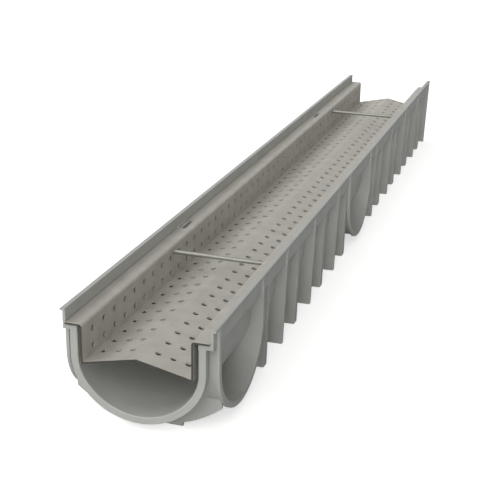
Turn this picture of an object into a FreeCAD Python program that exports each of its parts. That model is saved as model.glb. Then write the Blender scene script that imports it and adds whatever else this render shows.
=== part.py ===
import FreeCAD, Part
import math
import os
import Sketcher

# Channel drain: a moulded trough with side outlets, and a perforated sheet insert with two cross rods in it.
# +Y runs along the drain, +Z is up, and the origin is under the middle of the trough, at the level of its feet.

# Driving dimensions in millimetres. Lengths along the drain are measured from its front end.
DIMENSIONS = {
    "body_length": 1000.0,
    "ledge_level": 84.5,           # top of the plastic ledge above the feet
    "ledge_thickness": 4.5,
    "waterway_half": 50.0,         # half the clear width of the trough
    "waterway_side": 26.2,         # upright part of the trough's side, down from the ledge
    "waterway_bowl": 44.5,         # rounded part of the trough, below the upright part
    "bowl_corner": 38.0,
    "trough_wall": 3.0,
    "collar_wall": 6.0,
    "collar_length": 5.0,
    "seat_half": 59.7,             # centre line to the inner face of an upstand
    "upstand_height": 12.2,
    "upstand_thickness": 2.2,
    "lip_reach": 2.3,
    "lip_thickness": 2.0,
    "rib_start": 45.0,
    "rib_spacing": 50.0,
    "thin_rib": 2.0,
    "thick_rib": 7.0,
    "thin_foot_half": 61.0,
    "thick_foot_half": 59.5,
    "front_port": 66.5,
    "middle_port": 505.0,
    "port_half": 53.5,
    "port_bowl": 46.3,
    "port_corner": 41.0,
    "port_wall": 3.3,
    "rim_wall": 5.0,
    "rim_width": 3.0,
    "web_place": 22.0,
    "web_thickness": 2.5,
    "web_foot_half": 29.4,
    "web_step": 3.3,
    "web_tip_height": 21.0,
    "web_wing_radius": 95.0,
    "insert_shift": 2.0,           # how far the insert stands out of the front end
    "insert_half": 46.5,           # centre line to the outer face of an insert wall
    "insert_depth": 31.5,          # flange top to the crease at the foot of the wall
    "roof_rise": 9.7,
    "sheet": 1.5,
    "bend_radius": 2.5,
    "seat_clearance": 0.4,
    "first_row": 19.6,
    "row_spacing": 20.66,
    "hole_side": 4.8,
    "roof_column_first": 10.6,
    "roof_column_spacing": 12.5,
    "wall_hole_upper": 10.4,
    "wall_hole_spacing": 14.7,
    "lock_spacing": 500.0,
    "lock_centre": 53.6,
    "lock_length": 26.0,
    "lock_width": 3.6,
    "lock_pocket": 3.0,
    "lug_reach": 1.4,
    "lug_height": 1.2,             # how far a lug stands above the insert's flange
    "lug_clearance": 0.3,
    "fixing_place": 384.5,
    "fixing_spacing": 500.0,
    "fixing_height": 6.2,
    "fixing_diameter": 3.0,
    "rod_diameter": 4.0,
    "rod_spacing": 618.0,
    "rod_drop": 6.3,               # flange top to the centre of a rod
}


class Size:
    """A length together with the sheet formula that gives it."""

    def __init__(self, value, formula):
        self.value = value
        self.formula = formula

    def joined(self, sign, other, value):
        return Size(value, f"({self.formula} {sign} {other.formula})")

    def __add__(self, other):
        other = as_size(other)
        return self.joined("+", other, self.value + other.value)

    def __sub__(self, other):
        other = as_size(other)
        return self.joined("-", other, self.value - other.value)

    def __mul__(self, other):
        other = as_size(other)
        return self.joined("*", other, self.value * other.value)

    def __truediv__(self, other):
        other = as_size(other)
        return self.joined("/", other, self.value / other.value)

    def __neg__(self):
        return Size(-self.value, f"(-{self.formula})")


def hypotenuse(first, second):
    return Size(math.hypot(first.value, second.value), f"hypot({first.formula}; {second.formula})")


def as_size(number):
    return number if isinstance(number, Size) else Size(float(number), repr(float(number)))


def make_sheet():
    sheet = document.addObject("Spreadsheet::Sheet", "Dimensions")
    for row, (name, value) in enumerate(DIMENSIONS.items(), start=1):
        sheet.set(f"A{row}", name)
        sheet.set(f"B{row}", str(value))
        sheet.setAlias(f"B{row}", name)
    document.recompute()


def size(name):
    return Size(DIMENSIONS[name], f"Dimensions.{name}")


# ---------------------------------------------------------------- sketching

def new_body(label):
    body = document.addObject("PartDesign::Body", label)
    body.Label = label
    return body


def origin_feature(body, role):
    return next(item for item in body.Origin.OriginFeatures if item.Role == role)


def new_sketch(body, name, plane, place=None, along_normal=1):
    """A sketch on one of the body's planes, moved to a place on the axis across that plane."""
    sketch = body.newObject("Sketcher::SketchObject", name)
    sketch.AttachmentSupport = [(origin_feature(body, plane), "")]
    sketch.MapMode = "FlatFace"
    if place is not None:
        sketch.AttachmentOffset = FreeCAD.Placement(
            FreeCAD.Vector(0, 0, along_normal * place.value), FreeCAD.Rotation())
        sketch.setExpression("AttachmentOffset.Base.z", (place * along_normal).formula)
    return sketch


def section_sketch(body, name, place=None):
    """A sketch seen from the front end: X to the right, Z up, at a place along Y."""
    return new_sketch(body, name, "XZ_Plane", place, -1)


def fix_coordinate(sketch, kind, geometry, end, value):
    if value.value >= 0:
        added = sketch.addConstraint(Sketcher.Constraint(kind, -1, 1, geometry, end, value.value))
        sketch.setExpression(f"Constraints[{added}]", value.formula)
    else:
        added = sketch.addConstraint(Sketcher.Constraint(kind, geometry, end, -1, 1, -value.value))
        sketch.setExpression(f"Constraints[{added}]", (-value).formula)


def fix_point(sketch, geometry, end, x, y):
    fix_coordinate(sketch, "DistanceX", geometry, end, x)
    fix_coordinate(sketch, "DistanceY", geometry, end, y)


def fix_radius(sketch, geometry, radius):
    added = sketch.addConstraint(Sketcher.Constraint("Radius", geometry, radius.value))
    sketch.setExpression(f"Constraints[{added}]", radius.formula)


def vector(x, y):
    return FreeCAD.Vector(x.value, y.value, 0)


def add_line(sketch, start, end):
    return sketch.addGeometry(Part.LineSegment(vector(*start), vector(*end)), False)


def add_arc(sketch, start, end, radius):
    """An arc of less than a half turn. A positive radius turns left on the way from start to end."""
    first, last = vector(*start), vector(*end)
    chord = last - first
    across = FreeCAD.Vector(-chord.y, chord.x, 0).normalize()
    rise = math.sqrt(radius.value ** 2 - (chord.Length / 2) ** 2)
    middle = (first + last) / 2 + across * math.copysign(rise, radius.value)
    if radius.value < 0:
        first, last = last, first
    angles = [math.atan2(point.y - middle.y, point.x - middle.x) for point in (first, last)]
    circle = Part.Circle(middle, FreeCAD.Vector(0, 0, 1), abs(radius.value))
    return sketch.addGeometry(Part.ArcOfCircle(circle, *angles), False)


def add_outline(sketch, points, arcs=None):
    """A closed outline through points given as pairs of sizes.

    arcs gives the radius of each edge that is an arc, by the number of the point it starts from.
    """
    arcs = arcs or {}
    ends = []
    for number, (start, end) in enumerate(zip(points, points[1:] + points[:1])):
        if number in arcs:
            edge = add_arc(sketch, start, end, arcs[number])
            ends.append((edge, 1, 2) if arcs[number].value > 0 else (edge, 2, 1))
        else:
            ends.append((add_line(sketch, start, end), 1, 2))
    for (edge, _, end), (following, start, _) in zip(ends, ends[1:] + ends[:1]):
        sketch.addConstraint(Sketcher.Constraint("Coincident", edge, end, following, start))
    for (edge, start, _), (x, y) in zip(ends, points):
        fix_point(sketch, edge, start, x, y)
    for number, radius in arcs.items():
        fix_radius(sketch, ends[number][0], radius if radius.value > 0 else -radius)


def both_sides(right_points):
    """The right half of an outline, given from the top down, followed by its mirror image."""
    return right_points + [(-x, y) for x, y in reversed(right_points)]


def add_rectangle(sketch, low_x, high_x, low_y, high_y):
    add_outline(sketch, [(low_x, low_y), (high_x, low_y), (high_x, high_y), (low_x, high_y)])


def add_slot(sketch, x, y, width, length):
    """A square-ended slot along the sketch's second axis, or a square hole."""
    add_rectangle(sketch, x - width / 2, x + width / 2, y - length / 2, y + length / 2)


def add_bowl(sketch, centre, half, top, spring, bottom, corner):
    """An open U from its right top to its left top: upright sides and a bowl of three tangent arcs."""
    depth = spring - bottom
    floor_radius = (half * half + depth * depth - half * corner * 2) / ((depth - corner) * 2)
    floor_height = bottom.value + floor_radius.value
    corner_x = half.value - corner.value
    lean = math.atan2(corner_x, floor_height - spring.value)
    right_centre = FreeCAD.Vector(centre.value + corner_x, spring.value, 0)
    left_centre = FreeCAD.Vector(centre.value - corner_x, spring.value, 0)
    floor_centre = FreeCAD.Vector(centre.value, floor_height, 0)
    down = -math.pi / 2
    up = FreeCAD.Vector(0, 0, 1)
    right = add_line(sketch, (centre + half, top), (centre + half, spring))
    arcs = [
        (right_centre, corner.value, down + lean, 0.0),
        (floor_centre, floor_radius.value, down - lean, down + lean),
        (left_centre, corner.value, math.pi, 1.5 * math.pi - lean),
    ]
    right_arc, floor, left_arc = [
        sketch.addGeometry(Part.ArcOfCircle(Part.Circle(middle, up, radius), start, end), False)
        for middle, radius, start, end in arcs
    ]
    left = add_line(sketch, (centre - half, spring), (centre - half, top))
    fix_point(sketch, right, 1, centre + half, top)
    fix_point(sketch, right, 2, centre + half, spring)
    fix_point(sketch, left, 1, centre - half, spring)
    fix_point(sketch, left, 2, centre - half, top)
    joints = [(right, 2, right_arc, 2), (right_arc, 1, floor, 2), (floor, 1, left_arc, 2), (left_arc, 1, left, 1)]
    for joint in joints:
        sketch.addConstraint(Sketcher.Constraint("Tangent", *joint))
    fix_radius(sketch, right_arc, corner)
    fix_radius(sketch, left_arc, corner)
    fix_radius(sketch, floor, floor_radius)
    return right, left


def close_gap(sketch, first_end, second_end, start, end):
    """A line from one edge's end to another's."""
    line = add_line(sketch, start, end)
    sketch.addConstraint(Sketcher.Constraint("Coincident", *first_end, line, 1))
    sketch.addConstraint(Sketcher.Constraint("Coincident", line, 2, *second_end))


def add_closed_bowl(sketch, centre, half, top, spring, bottom, corner):
    right, left = add_bowl(sketch, centre, half, top, spring, bottom, corner)
    close_gap(sketch, (left, 2), (right, 1), (centre - half, top), (centre + half, top))


def add_bowl_strip(sketch, centre, half, wall, top, spring, bottom, corner):
    """A U-shaped strip of even thickness, given by its inner outline."""
    outer_right, outer_left = add_bowl(
        sketch, centre, half + wall, top, spring, bottom - wall, corner + wall)
    inner_right, inner_left = add_bowl(sketch, centre, half, top, spring, bottom, corner)
    close_gap(sketch, (outer_left, 2), (inner_left, 2), (centre - half - wall, top), (centre - half, top))
    close_gap(sketch, (inner_right, 1), (outer_right, 1), (centre + half, top), (centre + half + wall, top))


# ---------------------------------------------------------------- features

def pad(body, sketch, length, name, symmetric=True):
    feature = body.newObject("PartDesign::Pad", name)
    feature.Profile = sketch
    feature.setExpression("Length", length.formula)
    if symmetric:
        feature.SideType = "Symmetric"
    body.Tip = feature
    return feature


def cut_through(body, sketch, name):
    """A cut through the whole body, both ways from the sketch."""
    feature = body.newObject("PartDesign::Pocket", name)
    feature.Profile = sketch
    feature.Type = "ThroughAll"
    feature.SideType = "Symmetric"
    body.Tip = feature
    return feature


def cut_depth(body, sketch, depth, name, along_normal=False):
    """A cut of a given depth to one side of the sketch: against its normal, or along it."""
    feature = body.newObject("PartDesign::Pocket", name)
    feature.Profile = sketch
    feature.setExpression("Length", depth.formula)
    feature.Reversed = along_normal
    body.Tip = feature
    return feature


def mirrored(body, features, plane, name):
    feature = body.newObject("PartDesign::Mirrored", name)
    feature.Originals = features
    feature.MirrorPlane = (origin_feature(body, plane), [""])
    body.Tip = feature
    return feature


def in_a_row(body, features, spacing, copies, name):
    """Copies of features along +Y."""
    feature = body.newObject("PartDesign::LinearPattern", name)
    feature.Originals = features
    feature.Direction = (origin_feature(body, "Y_Axis"), [""])
    feature.Mode = "Spacing"
    feature.setExpression("Offset", spacing.formula)
    feature.Occurrences = copies
    body.Tip = feature
    return feature


def from_front(place):
    """A place along the drain, given from its front end, in the drain's own frame."""
    return place - size("body_length") / 2


# ---------------------------------------------------------------- trough

def trough_levels():
    """Heights that the trough's sections share: lip underside, spring line and bowl bottom."""
    lip_under = size("ledge_level") + size("upstand_height") - size("lip_thickness")
    spring = size("ledge_level") - size("waterway_side")
    bottom = spring - size("waterway_bowl")
    return lip_under, spring, bottom


def ports():
    return [size("front_port"), size("middle_port")]


def rib_runs(first, spacing, foot):
    """Places of every second rib, as runs of neighbours that leave out those behind a side port."""
    runs = [[]]
    place = first
    while place.value + foot.value / 2 <= DIMENSIONS["body_length"]:
        reach = DIMENSIONS["port_half"] + DIMENSIONS["rim_wall"]
        if any(abs(place.value - port.value) < reach for port in ports()):
            runs.append([])
        else:
            runs[-1].append(place)
        place = place + spacing
    return [run for run in runs if run]


def add_ribs(body, name, first, thickness, top_half, foot_half):
    lip_under = trough_levels()[0]
    spacing = size("rib_spacing") * 2
    for number, run in enumerate(rib_runs(first, spacing, thickness), start=1):
        sketch = section_sketch(body, f"{name}_outline_{number}", from_front(run[0]))
        add_outline(sketch, both_sides([(top_half, lip_under), (foot_half, as_size(0))]))
        rib = pad(body, sketch, thickness, f"{name}_{number}")
        document.recompute()
        if len(run) > 1:
            in_a_row(body, [rib], spacing, len(run), f"{name}_row_{number}")


def make_trough():
    body = new_body("trough_body")
    lip_under, spring, bottom = trough_levels()
    centre = as_size(0)
    length = size("body_length")
    ledge = size("ledge_level")
    top = ledge + size("upstand_height")
    seat_half = size("seat_half")
    band_half = seat_half + size("upstand_thickness")
    lip_half = band_half + size("lip_reach")
    water_half = size("waterway_half")
    corner = size("bowl_corner")
    wall = size("trough_wall")
    collar = size("collar_wall")

    add_front_web(body, band_half, spring)
    add_port_walls(body, lip_half, lip_under, spring)

    # The trough's outer shape, and the ledges, upstands and lips along its mouth.
    sketch = section_sketch(body, "trough_outline")
    add_closed_bowl(sketch, centre, water_half + wall, ledge, spring, bottom - wall, corner + wall)
    pad(body, sketch, length, "trough_outside")
    sketch = section_sketch(body, "mouth_outline")
    add_outline(sketch, both_sides([
        (lip_half, top), (lip_half, lip_under), (band_half, lip_under),
        (band_half, ledge - size("ledge_thickness"))]))
    pad(body, sketch, length, "mouth")

    # A thicker collar at each end, where the next trough joins on.
    sketch = section_sketch(body, "collar_outline", from_front(size("collar_length") / 2))
    add_closed_bowl(sketch, centre, water_half + collar, ledge, spring, bottom - collar, corner + collar)
    front_collar = pad(body, sketch, size("collar_length"), "front_collar")
    document.recompute()
    mirrored(body, [front_collar], "XZ_Plane", "rear_collar")

    # Upright ribs, thick and thin in turn, that end in flat feet.
    start = size("rib_start")
    add_ribs(body, "thick_rib", start, size("thick_rib"), band_half, size("thick_foot_half"))
    add_ribs(body, "thin_rib", start + size("rib_spacing"), size("thin_rib"), lip_half, size("thin_foot_half"))

    # The waterway and the seat of the insert, cut through everything above.
    sketch = section_sketch(body, "waterway_outline")
    add_closed_bowl(sketch, centre, water_half, ledge, spring, bottom, corner)
    cut_through(body, sketch, "waterway")
    sketch = section_sketch(body, "seat_outline")
    add_rectangle(sketch, -seat_half, seat_half, ledge, top)
    cut_through(body, sketch, "insert_seat")
    add_seat_details(body, ledge, seat_half)
    return body


def add_front_web(body, tip_half, spring):
    """A cradle under the front ports: a flat foot with a rising wing on each side."""
    foot_half = size("web_foot_half")
    step = size("web_step")
    tip_height = size("web_tip_height")
    ground = as_size(0)
    radius = size("web_wing_radius")
    sketch = section_sketch(body, "front_web_outline", from_front(size("web_place")))
    add_outline(sketch, [
        (-foot_half, ground), (foot_half, ground), (foot_half, step), (tip_half, tip_height),
        (tip_half, spring), (-tip_half, spring), (-tip_half, tip_height), (-foot_half, step),
    ], {2: radius, 6: radius})
    pad(body, sketch, size("web_thickness"), "front_web")

    # The web stops under the port: the port's own hollow is cut from it.
    sketch = new_sketch(body, "web_top_outline", "YZ_Plane")
    add_closed_bowl(sketch, from_front(size("front_port")), size("port_half"), spring + 1,
                    spring, spring - size("port_bowl"), size("port_corner"))
    cut_through(body, sketch, "web_top")


def add_port_walls(body, lip_half, lip_under, spring):
    """Side ports: U-shaped walls across the trough, each with a rim that is flush with the lip."""
    rim_width = size("rim_width")
    walls = new_sketch(body, "port_outline", "YZ_Plane")
    rims = new_sketch(body, "rim_outline", "YZ_Plane", lip_half - rim_width)
    for sketch, wall in ((walls, size("port_wall")), (rims, size("rim_wall"))):
        for port in ports():
            add_bowl_strip(sketch, from_front(port), size("port_half"), wall,
                           lip_under, spring, spring - size("port_bowl"), size("port_corner"))
    pad(body, walls, (lip_half - rim_width / 2) * 2, "port_walls")
    right_rims = pad(body, rims, rim_width, "right_rims", symmetric=False)
    document.recompute()
    mirrored(body, [right_rims], "YZ_Plane", "left_rims")


def lock_places():
    """Centres of the lock slots as pairs of sizes: two on each side of the drain."""
    across = size("lock_centre")
    along = size("lock_spacing") / 2
    return [(across, along), (-across, along), (-across, -along), (across, -along)]


def add_lug_outlines(sketch, near, far, length):
    """A rectangle beside each lock slot, between two distances from the centre line."""
    for x, y in lock_places():
        low, high = (near, far) if x.value > 0 else (-far, -near)
        add_rectangle(sketch, low, high, y - length / 2, y + length / 2)


def add_seat_details(body, ledge, seat_half):
    """Pockets under the insert's lock slots, lugs that hold it lengthwise, and holes in the upstands."""
    sketch = new_sketch(body, "lock_pocket_outline", "XY_Plane", ledge)
    for x, y in lock_places():
        add_slot(sketch, x, y, size("lock_width"), size("lock_length"))
    cut_depth(body, sketch, size("lock_pocket"), "lock_pockets")

    sketch = new_sketch(body, "lug_outline", "XY_Plane", ledge)
    add_lug_outlines(sketch, seat_half - size("lug_reach"), seat_half + size("upstand_thickness") / 2,
                     size("lock_length"))
    pad(body, sketch, size("sheet") + size("lug_height"), "lugs", symmetric=False)

    sketch = new_sketch(body, "fixing_outline", "YZ_Plane")
    height = ledge + size("fixing_height")
    radius = size("fixing_diameter") / 2
    for place in (size("fixing_place"), size("fixing_place") + size("fixing_spacing")):
        middle = (from_front(place), height)
        circle = sketch.addGeometry(Part.Circle(vector(*middle), FreeCAD.Vector(0, 0, 1), radius.value), False)
        fix_point(sketch, circle, 3, *middle)
        fix_radius(sketch, circle, radius)
    cut_through(body, sketch, "fixing_holes")


# ---------------------------------------------------------------- insert

def insert_length():
    """The insert is as long as the trough."""
    return size("body_length")


def insert_place(from_end):
    """A place along the insert, given from its front end, in the drain's own frame."""
    return from_front(from_end - size("insert_shift"))


def make_insert():
    body = new_body("perforated_insert")
    ledge = size("ledge_level")
    sheet = size("sheet")
    top = ledge + sheet
    tip = size("seat_half") - size("seat_clearance")
    outer = size("insert_half")
    inner = outer - sheet
    bend = size("bend_radius")
    bend_x = inner + bend
    bend_z = top - bend
    crease = top - size("insert_depth")
    rise = size("roof_rise")
    slope = rise / inner
    ridge = crease + rise
    under_ridge = ridge - hypotenuse(sheet, sheet * slope)
    under_crease = under_ridge - slope * outer
    zero = as_size(0)

    # One folded sheet: flanges on the ledges, upright walls, and a low roof between them.
    sketch = section_sketch(body, "sheet_outline", insert_place(insert_length() / 2))
    add_outline(sketch, [
        (tip, top), (bend_x, top), (inner, bend_z), (inner, crease), (zero, ridge),
        (-inner, crease), (-inner, bend_z), (-bend_x, top), (-tip, top), (-tip, ledge),
        (-bend_x, ledge), (-outer, bend_z), (-outer, under_crease), (zero, under_ridge),
        (outer, under_crease), (outer, bend_z), (bend_x, ledge), (tip, ledge),
    ], {1: bend, 6: bend, 10: sheet - bend, 15: sheet - bend})
    pad(body, sketch, insert_length(), "folded_sheet")

    # Slots for the grating's locks, each with a notch beside it that clears a lug on the upstand.
    clearance = size("lug_clearance")
    sketch = new_sketch(body, "lock_slot_outline", "XY_Plane", top)
    for x, y in lock_places():
        add_slot(sketch, x, y, size("lock_width"), size("lock_length"))
    add_lug_outlines(sketch, size("seat_half") - size("lug_reach") - clearance, size("seat_half") + 1,
                     size("lock_length") + clearance * 2)
    cut_through(body, sketch, "lock_slots")
    add_perforations(body, top, inner)
    return body


def add_perforations(body, top, inner):
    """Rows of holes all along the sheet: two in each wall and three in each half of the roof."""
    side = size("hole_side")
    row = insert_place(size("first_row"))
    upper = top - size("wall_hole_upper")
    holes = []
    for name, face in (("right", inner), ("left", -inner)):
        wall = new_sketch(body, f"{name}_wall_hole_outline", "YZ_Plane", face)
        for height in (upper, upper - size("wall_hole_spacing")):
            add_slot(wall, row, height, side, side)
        holes.append(cut_depth(body, wall, size("sheet") * 2, f"{name}_wall_holes", along_normal=face.value > 0))
        document.recompute()
    roof = new_sketch(body, "roof_hole_outline", "XY_Plane")
    for column in range(3):
        across = size("roof_column_first") + size("roof_column_spacing") * column
        add_slot(roof, across, row, side, side)
        add_slot(roof, -across, row, side, side)
    holes.append(cut_through(body, roof, "roof_holes"))
    document.recompute()
    room = insert_length().value - DIMENSIONS["first_row"] - DIMENSIONS["hole_side"]
    rows = int(room / DIMENSIONS["row_spacing"]) + 1
    in_a_row(body, holes, size("row_spacing"), rows, "perforation_rows")


# ---------------------------------------------------------------- cross rods

def make_rod(label, along):
    """A rod between the insert's walls, square to the drain."""
    rod = document.addObject("Part::Cylinder", label)
    rod.Label = label
    half = size("insert_half") - size("sheet")
    rod.Placement = FreeCAD.Placement(
        FreeCAD.Vector(0, 0, 0), FreeCAD.Rotation(FreeCAD.Vector(0, 1, 0), 90))
    rod.setExpression("Radius", (size("rod_diameter") / 2).formula)
    rod.setExpression("Height", (half * 2).formula)
    rod.setExpression("Placement.Base.x", (-half).formula)
    rod.setExpression("Placement.Base.y", along.formula)
    rod.setExpression("Placement.Base.z", (size("ledge_level") + size("sheet") - size("rod_drop")).formula)
    return rod


# ---------------------------------------------------------------- build and export

def check_document():
    for item in document.Objects:
        if "Invalid" in item.State or "Error" in item.State:
            raise RuntimeError(f"{item.Name} is not computed: {item.State}")


def export(parts):
    os.makedirs("parts", exist_ok=True)
    for item in parts:
        shape = item.Shape
        if shape.isNull() or not shape.isValid():
            raise RuntimeError(f"{item.Label} has no valid shape")
        shape.exportStep(f"parts/{item.Label}.step")
        print(item.Label, "solids", len(shape.Solids), "volume", round(shape.Volume), shape.BoundBox)


document = FreeCAD.newDocument("channel_drain")
make_sheet()
middle = insert_place(insert_length() / 2)
drain_parts = [
    make_trough(),
    make_insert(),
    make_rod("cross_rod_front", middle - size("rod_spacing") / 2),
    make_rod("cross_rod_rear", middle + size("rod_spacing") / 2),
]
document.recompute()
check_document()
export(drain_parts)
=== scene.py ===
import math
import bpy
from mathutils import Matrix, Vector


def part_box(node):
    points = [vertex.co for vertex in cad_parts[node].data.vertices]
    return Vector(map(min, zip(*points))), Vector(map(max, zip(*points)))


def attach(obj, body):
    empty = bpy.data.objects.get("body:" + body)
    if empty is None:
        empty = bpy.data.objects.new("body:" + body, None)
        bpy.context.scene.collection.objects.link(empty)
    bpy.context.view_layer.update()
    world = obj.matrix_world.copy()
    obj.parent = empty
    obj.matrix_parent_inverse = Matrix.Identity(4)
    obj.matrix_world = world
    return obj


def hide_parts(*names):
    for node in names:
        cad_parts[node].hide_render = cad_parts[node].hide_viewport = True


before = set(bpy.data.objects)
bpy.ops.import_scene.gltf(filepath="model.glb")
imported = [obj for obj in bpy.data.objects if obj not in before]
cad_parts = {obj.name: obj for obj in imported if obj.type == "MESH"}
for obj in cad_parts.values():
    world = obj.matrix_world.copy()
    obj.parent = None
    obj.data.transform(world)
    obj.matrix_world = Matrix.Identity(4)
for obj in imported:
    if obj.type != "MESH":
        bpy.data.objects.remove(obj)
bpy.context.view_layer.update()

# ---------------------------------------------------------------- trough
# The trough is one moulding of grey polypropylene: a round-bottomed channel with ledges and lips along its
# mouth, collars where troughs join, and ribs that stiffen it. A thin wall closes each side outlet until it
# is knocked out. The edges come out of the mould slightly rounded.

MM = 0.001
MERGE = 0.01 * MM
trough_low, trough_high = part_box("trough_body")
front_y, rear_y = trough_low.y, trough_high.y
lip_x, lip_top = trough_high.x, trough_high.z
lip_thickness, lip_reach = 2 * MM, 2.3 * MM
upstand_thickness, upstand_height = 2.2 * MM, 12.2 * MM
ledge_thickness = 4.5 * MM
side_height = 26.2 * MM
lip_under = lip_top - lip_thickness
band_x = lip_x - lip_reach
seat_x = band_x - upstand_thickness
ledge_z = lip_top - upstand_height
ledge_under = ledge_z - ledge_thickness
spring_z = ledge_z - side_height


def select_only(piece):
    """Selects one piece, or none, and leaves the CAD nodes out."""
    bpy.ops.object.select_all(action="DESELECT")
    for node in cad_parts.values():
        node.select_set(False)
    if piece:
        piece.select_set(True)
        bpy.context.view_layer.objects.active = piece


def edit(piece, kind):
    """Opens a piece in edit mode with nothing in it selected."""
    select_only(piece)
    bpy.ops.object.mode_set(mode="EDIT")
    bpy.ops.mesh.select_mode(type=kind)
    bpy.ops.mesh.select_all(action="DESELECT")


def close_edit():
    bpy.ops.object.mode_set(mode="OBJECT")


def near(value, target):
    return abs(value - target) < 0.05 * MM


def pick(piece, kind, wanted):
    """Selects the vertices, edges or faces that pass the test, and leaves the piece in edit mode."""
    edit(piece, kind)
    close_edit()
    mesh = piece.data
    if kind == "EDGE":
        for edge in mesh.edges:
            edge.select = wanted(*(mesh.vertices[i].co for i in edge.vertices))
    else:
        for part in mesh.vertices if kind == "VERT" else mesh.polygons:
            part.select = wanted(part)
    bpy.ops.object.mode_set(mode="EDIT")


def apply_modifier(piece, kind, **settings):
    select_only(piece)
    modifier = piece.modifiers.new(kind.lower(), kind)
    for name, value in settings.items():
        setattr(modifier, name, value)
    bpy.ops.object.modifier_apply(modifier=modifier.name)


def apply_place(piece):
    select_only(piece)
    bpy.ops.object.transform_apply(location=True, rotation=True, scale=True)


def start_strip(name, z, low_y, high_y):
    """One edge along the drain, over its centre line, left selected for a section to grow from."""
    select_only(None)
    bpy.ops.mesh.primitive_plane_add(size=1, location=(0, (low_y + high_y) / 2, z))
    piece = bpy.context.object
    piece.name = piece.data.name = name
    piece.scale = (0, high_y - low_y, 1)
    apply_place(piece)
    bpy.ops.object.mode_set(mode="EDIT")
    bpy.ops.mesh.select_all(action="SELECT")
    bpy.ops.mesh.remove_doubles(threshold=MERGE)
    bpy.ops.mesh.select_all(action="SELECT")
    return piece


def go_to(start, *points):
    """Carries the selected edge from its place in the section through the points, by flat strips."""
    for x, z in points:
        bpy.ops.mesh.extrude_edges_move(TRANSFORM_OT_translate={"value": (x - start[0], 0, z - start[1])})
        start = (x, z)


def turn_round(centre, degrees, steps):
    """Carries the selected edge round a centre; a positive turn goes from the bottom to the right."""
    bpy.ops.mesh.spin(steps=steps, angle=math.radians(degrees), axis=(0, 1, 0),
                      center=(centre[0], 0, centre[1]))


def turn_bowl(half, depth, corner):
    """Carries the edge from the bottom of a bowl, on the centre line, up to its right-hand side.

    The bottom arc runs smoothly into the corner arc, and its radius follows from that.
    """
    bottom = (half ** 2 + depth ** 2 - 2 * half * corner) / (2 * (depth - corner))
    corner_turn = math.degrees(math.atan2(bottom - depth, half - corner))
    turn_round((0, spring_z - depth + bottom), 90 - corner_turn, steps=14)
    turn_round((half - corner, spring_z), corner_turn, steps=9)


def face_outwards(piece):
    edit(piece, "VERT")
    bpy.ops.mesh.select_all(action="SELECT")
    bpy.ops.mesh.normals_make_consistent(inside=False)
    close_edit()


def close_section(piece):
    """Mirrors a half section to the other side and closes both of its ends."""
    close_edit()
    apply_modifier(piece, "MIRROR", use_axis=(True, False, False), merge_threshold=MERGE)
    places = [vertex.co.y for vertex in piece.data.vertices]
    for end in (min(places), max(places)):
        pick(piece, "EDGE", lambda a, b: near(a.y, end) and near(b.y, end))
        bpy.ops.mesh.edge_face_add()
        close_edit()
    face_outwards(piece)
    return piece


# The outside of the channel and its mouth, with the lips rounded along their outer edges.
water_half, water_depth, water_corner = 50 * MM, 44.5 * MM, 38 * MM
wall = 3 * MM
lip_round = 0.9 * MM
side_x, round_x = water_half + wall, lip_x - lip_round
trough = start_strip("trough", spring_z - water_depth - wall, front_y, rear_y)
turn_bowl(side_x, water_depth + wall, water_corner + wall)
go_to((side_x, spring_z), (side_x, ledge_under), (band_x, ledge_under), (band_x, lip_under),
      (round_x, lip_under))
turn_round((round_x, lip_under + lip_round), 90, steps=4)
go_to((lip_x, lip_under + lip_round), (lip_x, lip_top - lip_round))
turn_round((round_x, lip_top - lip_round), 90, steps=4)
go_to((round_x, lip_top), (0, lip_top))
close_section(trough)

# A thicker collar at each end. Each form that follows reaches a little way into the one above it.
bury = 0.8 * MM
collar_wall = 6 * MM
collar_length = 5 * MM


def make_bowl(name, half, depth, corner, top, low_y, high_y):
    """A solid bar with a bowl's section, filled up to its top."""
    piece = start_strip(name, spring_z - depth, low_y, high_y)
    turn_bowl(half, depth, corner)
    go_to((half, spring_z), (half, top), (0, top))
    return close_section(piece)


def widen_waterway(name, extra, top, low_y, high_y):
    return make_bowl(name, water_half + extra, water_depth + extra, water_corner + extra, top, low_y, high_y)


def combine(piece, other, operation):
    apply_modifier(piece, "BOOLEAN", object=other, operation=operation, solver="EXACT")
    bpy.data.objects.remove(other)


for low_y, high_y in ((front_y, front_y + collar_length), (rear_y - collar_length, rear_y)):
    combine(trough, widen_waterway("collar", collar_wall, ledge_z - bury, low_y, high_y), "UNION")

# Side outlets: a bowl-shaped wall across the trough, with a thicker rim at each end.
port_half, port_depth, port_corner = 53.5 * MM, 46.3 * MM, 41 * MM
port_wall = 3.3 * MM
rim_wall = 5 * MM
rim_width = 3 * MM
rim_round = 0.7 * MM
port_places = [front_y + 66.5 * MM, front_y + 505 * MM]


def widen_port(name, extra, top, low_y, high_y):
    return make_bowl(name, port_half + extra, port_depth + extra, port_corner + extra, top, low_y, high_y)


def make_port_hollow():
    return widen_port("port_hollow", 0, lip_top + bury, -2 * lip_x, 2 * lip_x)


def lay_across(piece, y):
    """Turns a bar that runs along the drain so that it crosses the drain at a place."""
    piece.rotation_euler = (0, 0, math.radians(90))
    piece.location = (0, y, 0)
    apply_place(piece)
    return piece


def copy_of(piece):
    twin = piece.copy()
    twin.data = piece.data.copy()
    bpy.context.scene.collection.objects.link(twin)
    return twin


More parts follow.
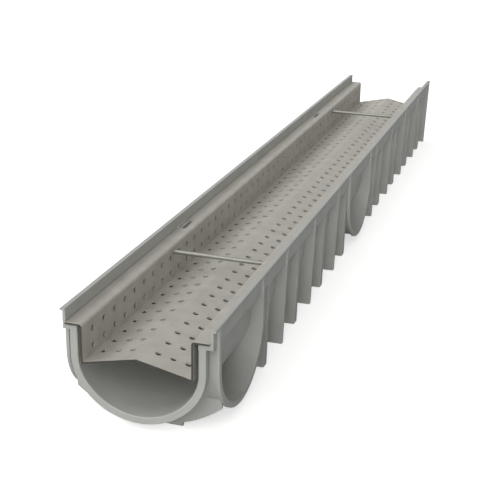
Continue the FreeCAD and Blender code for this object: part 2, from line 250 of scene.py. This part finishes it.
port = widen_port("port", port_wall, lip_under + bury, -lip_x + rim_width / 2, lip_x - rim_width / 2)
for outer, inner in ((-lip_x, -lip_x + rim_width), (lip_x, lip_x - rim_width)):
    rim = widen_port("rim", rim_wall, lip_under + bury, min(outer, inner), max(outer, inner))
    pick(rim, "EDGE", lambda a, b: near(a.y, outer) and near(b.y, outer) and min(a.z, b.z) < spring_z + MM)
    bpy.ops.mesh.bevel(offset=rim_round, affect="EDGES", segments=3)
    close_edit()
    combine(port, rim, "UNION")
combine(port, make_port_hollow(), "DIFFERENCE")
for port_place in port_places:
    combine(trough, lay_across(copy_of(port), port_place), "UNION")
bpy.data.objects.remove(port)

# The cradle under the front outlets: a flat foot with a rising wing on each side.
web_place = front_y + 22 * MM
web_thickness = 2.5 * MM
foot_end = Vector((29.4 * MM, 3.3 * MM))
wing_tip = Vector((band_x, 21 * MM))
wing_radius = 95 * MM
chord = wing_tip - foot_end
half_turn = math.asin(chord.length / 2 / wing_radius)
wing_centre = foot_end + chord / 2 + chord.orthogonal().normalized() * wing_radius * math.cos(half_turn)
web = start_strip("web", 0, web_place - web_thickness / 2, web_place + web_thickness / 2)
go_to((0, 0), (foot_end.x, 0), foot_end)
turn_round(wing_centre, math.degrees(2 * half_turn), steps=8)
go_to(wing_tip, (band_x, spring_z), (0, spring_z))
close_section(web)
combine(web, lay_across(make_port_hollow(), port_places[0]), "DIFFERENCE")
combine(trough, web, "UNION")

# Upright ribs, thick and thin in turn, with rounded feet, left out where an outlet is.
rib_spacing = 100 * MM
first_thick_rib, first_thin_rib = front_y + 45 * MM, front_y + 95 * MM
rib_foot_round = 1.5 * MM


def make_rib(name, thickness, top_half, foot_half):
    rib = start_strip(name, 0, -thickness / 2, thickness / 2)
    go_to((0, 0), (foot_half, 0), (top_half, lip_under), (top_half - bury, lip_under + bury),
          (0, lip_under + bury))
    close_section(rib)
    pick(rib, "EDGE", lambda a, b: near(abs(a.x), foot_half) and near(a.x, b.x) and max(a.z, b.z) < MERGE)
    bpy.ops.mesh.bevel(offset=rib_foot_round, affect="EDGES", segments=3)
    close_edit()
    return rib


thick_rib = make_rib("thick_rib", thickness=7 * MM, top_half=band_x, foot_half=59.5 * MM)
thin_rib = make_rib("thin_rib", thickness=2 * MM, top_half=lip_x, foot_half=61 * MM)
for rib, rib_place in ((thick_rib, first_thick_rib), (thin_rib, first_thin_rib)):
    while rib_place < rear_y:
        if min(abs(rib_place - port_place) for port_place in port_places) > port_half + rim_wall:
            twin = copy_of(rib)
            twin.location = (0, rib_place, 0)
            apply_place(twin)
            combine(trough, twin, "UNION")
        rib_place += rib_spacing
    bpy.data.objects.remove(rib)

# The waterway and the seat of the insert.
beyond = 10 * MM
waterway = start_strip("waterway", spring_z - water_depth, front_y - beyond, rear_y + beyond)
turn_bowl(water_half, water_depth, water_corner)
go_to((water_half, spring_z), (water_half, ledge_z), (seat_x, ledge_z), (seat_x, lip_top + beyond),
      (0, lip_top + beyond))
combine(trough, close_section(waterway), "DIFFERENCE")

# Pockets for the grating's locks, and lugs beside them that hold the insert lengthwise.
lock_places = [-250 * MM, 250 * MM]
slot_x, slot_width, slot_length = 53.6 * MM, 3.6 * MM, 26 * MM
slot_round = 0.498 * slot_width
pocket_depth = 3 * MM
lug_reach = 1.4 * MM
lug_top = ledge_z + 2.7 * MM


def make_block(x_range, y, length, z_range):
    """A box centred at a place along the drain."""
    low_x, high_x = sorted(x_range)
    low_z, high_z = z_range
    select_only(None)
    bpy.ops.mesh.primitive_cube_add(size=1, location=((low_x + high_x) / 2, y, (low_z + high_z) / 2))
    block = bpy.context.object
    block.scale = (high_x - low_x, length, high_z - low_z)
    apply_place(block)
    return block


def make_slot_cutter(x, y, low_z):
    """A bar with round ends, as wide and long as a lock's slot."""
    cutter = make_block((x - slot_width / 2, x + slot_width / 2), y, slot_length, (low_z, lip_top))
    pick(cutter, "EDGE", lambda a, b: not near(a.z, b.z))
    bpy.ops.mesh.bevel(offset=slot_round, affect="EDGES", segments=6)
    close_edit()
    return cutter


for lock_place in lock_places:
    for side in (-1, 1):
        combine(trough, make_slot_cutter(side * slot_x, lock_place, ledge_z - pocket_depth), "DIFFERENCE")
        lug = make_block((side * (seat_x - lug_reach), side * (seat_x + MM)), lock_place, slot_length,
                         (ledge_z - bury, lug_top))
        combine(trough, lug, "UNION")

# Fixing holes through the upstands.
fixing_radius = 1.5 * MM
fixing_z = ledge_z + 6.2 * MM
fixing_places = [front_y + 384.5 * MM, front_y + 884.5 * MM]
for fixing_place in fixing_places:
    select_only(None)
    bpy.ops.mesh.primitive_cylinder_add(vertices=24, radius=fixing_radius, depth=4 * lip_x,
                                        location=(0, fixing_place, fixing_z),
                                        rotation=(0, math.radians(90), 0))
    drill = bpy.context.object
    apply_place(drill)
    combine(trough, drill, "DIFFERENCE")

# The mouth of each collar is chamfered on the inside, by a bowl that narrows inwards.
mouth_chamfer = 1.0 * MM
mouth_reach = mouth_chamfer + 0.3 * MM
mouth_extra = 2 * mouth_chamfer
narrowing = 1 - (mouth_extra + mouth_reach) / (water_half + mouth_extra)
for end, inwards in ((front_y, 1), (rear_y, -1)):
    low_y, high_y = sorted((end - inwards * mouth_chamfer, end + inwards * mouth_reach))
    mouth = widen_waterway("mouth", mouth_extra, ledge_under, low_y, high_y)
    pick(mouth, "EDGE", lambda a, b: min((a.y - end) * inwards, (b.y - end) * inwards) > 0)
    bpy.ops.transform.resize(value=(narrowing, 1, narrowing), center_override=(0, 0, spring_z))
    close_edit()
    combine(trough, mouth, "DIFFERENCE")

# Where cuts have left two corners in one place, they become one.
edit(trough, "VERT")
bpy.ops.mesh.select_all(action="SELECT")
bpy.ops.mesh.remove_doubles(threshold=MERGE)
close_edit()


def smooth(piece, degrees):
    """Shades a piece smoothly, apart from the edges that turn by more than the angle."""
    select_only(piece)
    bpy.ops.object.shade_smooth_by_angle(angle=math.radians(degrees))


smooth(trough, 30)


def new_finish(name, metallic, roughness):
    finish = bpy.data.materials.new(name)
    finish.use_nodes = True
    shader = finish.node_tree.nodes["Principled BSDF"]
    shader.inputs["Metallic"].default_value = metallic
    shader.inputs["Roughness"].default_value = roughness
    return finish, shader


def add_noise(finish, scale, detail, squeeze=(1, 1, 1)):
    """A noise pattern on the object's own coordinates, made narrower along each axis by a factor."""
    nodes, links = finish.node_tree.nodes, finish.node_tree.links
    place = nodes.new("ShaderNodeTexCoord")
    mapping = nodes.new("ShaderNodeMapping")
    mapping.inputs["Scale"].default_value = squeeze
    noise = nodes.new("ShaderNodeTexNoise")
    noise.inputs["Scale"].default_value = scale
    noise.inputs["Detail"].default_value = detail
    links.new(place.outputs["Object"], mapping.inputs["Vector"])
    links.new(mapping.outputs["Vector"], noise.inputs["Vector"])
    return noise.outputs["Fac"]


def add_tint(finish, pattern, dark, light, low=0.3, high=0.7):
    """Colours a finish between two tones, as the pattern goes."""
    nodes, links = finish.node_tree.nodes, finish.node_tree.links
    tint = nodes.new("ShaderNodeValToRGB")
    for stop, position, colour in zip(tint.color_ramp.elements, (low, high), (dark, light)):
        stop.position = position
        stop.color = (*colour, 1)
    links.new(pattern, tint.inputs["Fac"])
    links.new(tint.outputs["Color"], nodes["Principled BSDF"].inputs["Base Color"])


def add_relief(finish, pattern, strength, height):
    nodes, links = finish.node_tree.nodes, finish.node_tree.links
    relief = nodes.new("ShaderNodeBump")
    relief.inputs["Strength"].default_value = strength
    relief.inputs["Distance"].default_value = height
    links.new(pattern, relief.inputs["Height"])
    links.new(relief.outputs["Normal"], nodes["Principled BSDF"].inputs["Normal"])


# Grey plastic, slightly cloudy, with a fine grain from the mould.
plastic, skin = new_finish("moulded_plastic", metallic=0, roughness=0.55)
skin.inputs["Specular IOR Level"].default_value = 0.35
add_tint(plastic, add_noise(plastic, scale=35, detail=4),
         dark=(0.46, 0.465, 0.445), light=(0.51, 0.515, 0.49))
add_relief(plastic, add_noise(plastic, scale=1600, detail=2), strength=0.15, height=0.1 * MM)
trough.data.materials.append(plastic)
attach(trough, "root")
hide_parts("trough_body")

# ---------------------------------------------------------------- insert
# The insert is a tray folded from 1.5 mm steel sheet: flanges that lie on the trough's ledges, upright
# walls, and a low roof between them. The holes are punched in rows before it is folded.

sheet_low, sheet_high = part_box("perforated_insert")
sheet_thickness = 1.5 * MM
row_spacing = 20.66 * MM
row_count = 48
first_row = sheet_low.y + 19.6 * MM
last_row = first_row + row_spacing * (row_count - 1)
wall_x = 45 * MM
bend_outside = 2.5 * MM
crease_z = sheet_high.z - 31.5 * MM
ridge_z = crease_z + 9.7 * MM
roof_columns = [10.6 * MM, 23.1 * MM, 35.6 * MM]
wall_heights = [sheet_high.z - 25.1 * MM, sheet_high.z - 10.4 * MM]

# The first strip spans one row spacing, with a corner wherever a hole will be. Copies of it make the rest.
bend_centre = (wall_x + bend_outside, sheet_high.z - bend_outside)
insert = start_strip("insert", ridge_z, first_row, first_row + row_spacing)
go_to((0, ridge_z),
      *((x, ridge_z + (crease_z - ridge_z) * x / wall_x) for x in roof_columns), (wall_x, crease_z),
      *((wall_x, z) for z in wall_heights), (wall_x, bend_centre[1]))
turn_round(bend_centre, -90, steps=5)
go_to((bend_centre[0], sheet_high.z), (sheet_high.x, sheet_high.z))
close_edit()
apply_modifier(insert, "ARRAY", count=row_count - 1, use_relative_offset=False, use_constant_offset=True,
               constant_offset_displace=(0, row_spacing, 0), use_merge_vertices=True, merge_threshold=MERGE)

# The plain margins at the two ends of the sheet.
for row, end in ((first_row, sheet_low.y), (last_row, sheet_high.y)):
    pick(insert, "EDGE", lambda a, b: near(a.y, row) and near(b.y, row))
    bpy.ops.mesh.extrude_edges_move(TRANSFORM_OT_translate={"value": (0, end - row, 0)})
    close_edit()

# Holes: each corner is bevelled to a ring, and the small faces left inside the rings are cleared away.
hole_radius = 2.7 * MM
ring_profile = 0.083


def is_hole_centre(vertex):
    x, y, z = vertex.co
    on_row = first_row - MERGE < y < last_row + MERGE
    on_roof = any(near(x, column) for column in roof_columns)
    on_wall = near(x, wall_x) and any(near(z, height) for height in wall_heights)
    return on_row and (on_roof or on_wall)


pick(insert, "VERT", is_hole_centre)
bpy.ops.mesh.bevel(offset=hole_radius, affect="VERTICES", segments=4, profile=ring_profile)
close_edit()
pick(insert, "FACE", lambda face: face.area < hole_radius ** 2)
bpy.ops.mesh.delete(type="FACE")
close_edit()

# The other half, with the upper side of the sheet facing up.
apply_modifier(insert, "MIRROR", use_axis=(True, False, False), merge_threshold=MERGE)
face_outwards(insert)
roof_face = min(insert.data.polygons, key=lambda face: abs(face.center.x - roof_columns[0]))
if roof_face.normal.z < 0:
    pick(insert, "FACE", lambda face: True)
    bpy.ops.mesh.flip_normals()
    close_edit()

# Dull galvanized sheet. Its sheared ends, and the low parts of the outermost holes in the roof, are very
# dark:
# partly bare steel, and partly painted shade that stands in for the dark holes and the dark line along the
# front edge.
steel, sheet_shader = new_finish("sheet_steel", metallic=0.15, roughness=0.5)
cloud = add_noise(steel, scale=60, detail=5)
add_tint(steel, cloud, dark=(0.44, 0.42, 0.375), light=(0.52, 0.5, 0.45))
add_relief(steel, add_noise(steel, scale=900, detail=2), strength=0.04, height=0.2 * MM)
gloss = steel.node_tree.nodes.new("ShaderNodeMapRange")
gloss.inputs["To Min"].default_value = 0.5
gloss.inputs["To Max"].default_value = 0.6
steel.node_tree.links.new(cloud, gloss.inputs["Value"])
steel.node_tree.links.new(gloss.outputs["Result"], sheet_shader.inputs["Roughness"])
# The very dark tone is partly bare steel and partly painted shade.
cut_and_shade, _ = new_finish("cut_edge_and_painted_shade", metallic=0.5, roughness=0.65)
add_tint(cut_and_shade, add_noise(cut_and_shade, scale=700, detail=2),
         dark=(0.07, 0.065, 0.055), light=(0.11, 0.105, 0.095), low=0, high=1)
insert.data.materials.append(steel)
insert.data.materials.append(cut_and_shade)
apply_modifier(insert, "SOLIDIFY", thickness=sheet_thickness, offset=-1, use_even_offset=True,
               material_offset_rim=1)
# Rim faces below this height keep the very dark tone: painted shade low in the roof's outermost holes.
bare_and_shade_top = crease_z + MM
for face in insert.data.polygons:
    at_end = min(face.center.y - sheet_low.y, sheet_high.y - face.center.y) < MERGE
    if face.center.z > bare_and_shade_top and not at_end:
        face.material_index = 0

# Slots over the trough's pockets, with notches beside them that clear the lugs.
notch_x = 58 * MM
notch_length = slot_length + 0.6 * MM
below_sheet = ledge_z - MM
for lock_place in lock_places:
    for side in (-1, 1):
        combine(insert, make_slot_cutter(side * slot_x, lock_place, below_sheet), "DIFFERENCE")
        notch = make_block((side * notch_x, side * lip_x), lock_place, notch_length, (below_sheet, lip_top))
        combine(insert, notch, "DIFFERENCE")
smooth(insert, 20)
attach(insert, "root")
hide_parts("perforated_insert")

# ---------------------------------------------------------------- rods
# Two round steel rods cross the insert from wall to wall, a little below its flanges. They are cut from
# drawn wire, and their ends are welded to the walls.

rod_radius = 2 * MM
rod_chamfer = 0.3 * MM
wire, _ = new_finish("drawn_wire", metallic=0.6, roughness=0.45)
draw_lines = add_noise(wire, scale=1, detail=3, squeeze=(40, 1500, 1500))
add_tint(wire, draw_lines, dark=(0.27, 0.265, 0.235), light=(0.33, 0.325, 0.29))
add_relief(wire, draw_lines, strength=0.1, height=0.1 * MM)
for node, name in (("cross_rod_front", "rod_front"), ("cross_rod_rear", "rod_rear")):
    rod_low, rod_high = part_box(node)
    select_only(None)
    bpy.ops.mesh.primitive_cylinder_add(vertices=32, radius=rod_radius, depth=rod_high.x - rod_low.x,
                                        location=(rod_low + rod_high) / 2, rotation=(0, math.radians(90), 0))
    rod = bpy.context.object
    rod.name = rod.data.name = name
    apply_place(rod)
    pick(rod, "EDGE", lambda a, b: near(a.x, b.x) and near(abs(a.x), rod_high.x))
    bpy.ops.mesh.bevel(offset=rod_chamfer, affect="EDGES", segments=2)
    close_edit()
    smooth(rod, 35)
    rod.data.materials.append(wire)
    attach(rod, "root")
    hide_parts(node)

# ---------------------------------------------------------------- floor
# A plain matt floor under the drain. It looks nearly white to the camera and mid-grey to everything else,
# so that it throws little light up at the drain.

floor_size = 12
floor_glow = 0.6
select_only(None)
bpy.ops.mesh.primitive_plane_add(size=floor_size, location=(0, 0, 0))
floor = bpy.context.object
floor.name = "floor"
pale, paint = new_finish("pale_floor", metallic=0, roughness=0.9)
paint.inputs["Specular IOR Level"].default_value = 0
paint.inputs["Emission Color"].default_value = (1, 1, 1, 1)
nodes, links = pale.node_tree.nodes, pale.node_tree.links
path = nodes.new("ShaderNodeLightPath")
shade = nodes.new("ShaderNodeMix")
shade.data_type = "RGBA"
shade.inputs["A"].default_value = (0.5, 0.5, 0.5, 1)
shade.inputs["B"].default_value = (0.98, 0.98, 0.98, 1)
glow = nodes.new("ShaderNodeMath")
glow.operation = "MULTIPLY"
glow.inputs[1].default_value = floor_glow
links.new(path.outputs["Is Camera Ray"], shade.inputs["Factor"])
links.new(shade.outputs["Result"], paint.inputs["Base Color"])
links.new(path.outputs["Is Camera Ray"], glow.inputs[0])
links.new(glow.outputs["Value"], paint.inputs["Emission Strength"])
floor.data.materials.append(pale)

# ---------------------------------------------------------------- light
# An even studio: a dim room that looks white to the camera and in reflections, and three broad soft
# lights, from above on the left, from the front, and from low down at the front right.

world = bpy.data.worlds.new("studio")
bpy.context.scene.world = world
world.use_nodes = True
nodes, links = world.node_tree.nodes, world.node_tree.links
room = nodes["Background"]
room.inputs["Color"].default_value = (1, 1, 1, 1)
path = nodes.new("ShaderNodeLightPath")
seen = nodes.new("ShaderNodeMath")
seen.operation = "MAXIMUM"
level = nodes.new("ShaderNodeMapRange")
level.inputs["To Min"].default_value = 0.27
level.inputs["To Max"].default_value = 1
links.new(path.outputs["Is Camera Ray"], seen.inputs[0])
links.new(path.outputs["Is Glossy Ray"], seen.inputs[1])
links.new(seen.outputs["Value"], level.inputs["Value"])
links.new(level.outputs["Result"], room.inputs["Strength"])


def add_soft_light(name, comes_from, strength, spread, colour):
    lamp = bpy.data.lights.new(name, "SUN")
    lamp.energy = strength
    lamp.angle = math.radians(spread)
    lamp.color = colour
    light = bpy.data.objects.new(name, lamp)
    light.rotation_euler = Vector(comes_from).to_track_quat("Z", "Y").to_euler()
    bpy.context.scene.collection.objects.link(light)


add_soft_light("top_light", comes_from=(-0.62, -0.2, 0.76), strength=0.85, spread=30, colour=(0.95, 0.99, 1))
add_soft_light("front_light", comes_from=(0, -0.8, 0.6), strength=1.2, spread=40, colour=(1, 1, 0.97))
add_soft_light("side_light", comes_from=(0.27, -0.96, 0.05), strength=0.85, spread=25, colour=(1, 0.99, 0.96))

# ---------------------------------------------------------------- camera
# It stands in front of the drain and to its right, higher than its top, and looks back along it and down.
# Its lens is long, so the far end stays large.

camera_place = (0.3058, -1.1895, 0.4305)
heading, tilt, roll = (math.radians(angle) for angle in (17.46, -20.24, 1.08))
lens = bpy.data.cameras.new("camera")
lens.lens = 78.18
lens.sensor_width = 36
lens.clip_end = 50
camera = bpy.data.objects.new("camera", lens)
bpy.context.scene.collection.objects.link(camera)
camera.matrix_world = (Matrix.Translation(camera_place)
                       @ Matrix.Rotation(heading, 4, "Z")
                       @ Matrix.Rotation(math.radians(90) + tilt, 4, "X")
                       @ Matrix.Rotation(roll, 4, "Z"))
bpy.context.scene.camera = camera
bpy.context.scene.view_settings.view_transform = "Standard"
